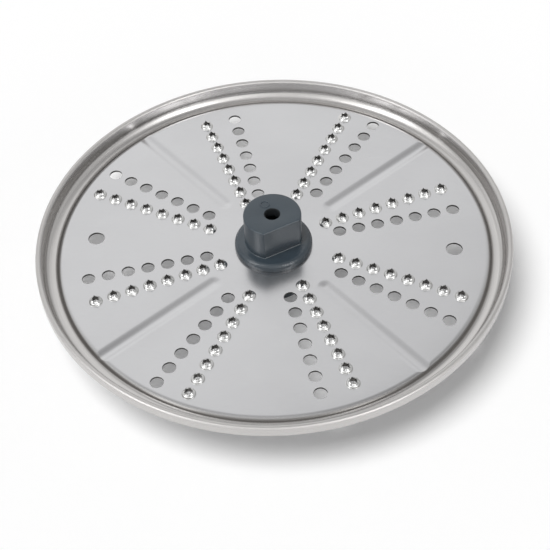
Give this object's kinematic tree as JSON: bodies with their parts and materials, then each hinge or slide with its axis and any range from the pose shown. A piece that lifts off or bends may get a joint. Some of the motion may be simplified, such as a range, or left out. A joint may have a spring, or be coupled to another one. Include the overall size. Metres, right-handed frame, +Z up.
{
  "type": "food processor grating disc",
  "caption": "Round pressed steel grating disc with rows of torn crown teeth and plain holes, a gutter and hemmed lip at the rim, and a plastic drive hub through its centre.",
  "frame": {"origin": "centre of the hub's foot, on the drive axis", "axes": "+Z up the drive axis from the hub's foot to the boss, X through the two larger plain holes of the sheet"},
  "size_m": [0.18, 0.18, 0.0352],
  "materials": {
    "steel": "satin stainless sheet, brighter on the punched teeth and the rolled lip",
    "hub_plastic": "slate grey moulded plastic with a soft sheen"
  },
  "bodies": {
    "root": {"grating_disc": "steel", "drive_hub": "hub_plastic"}
  },
  "joints": []
}
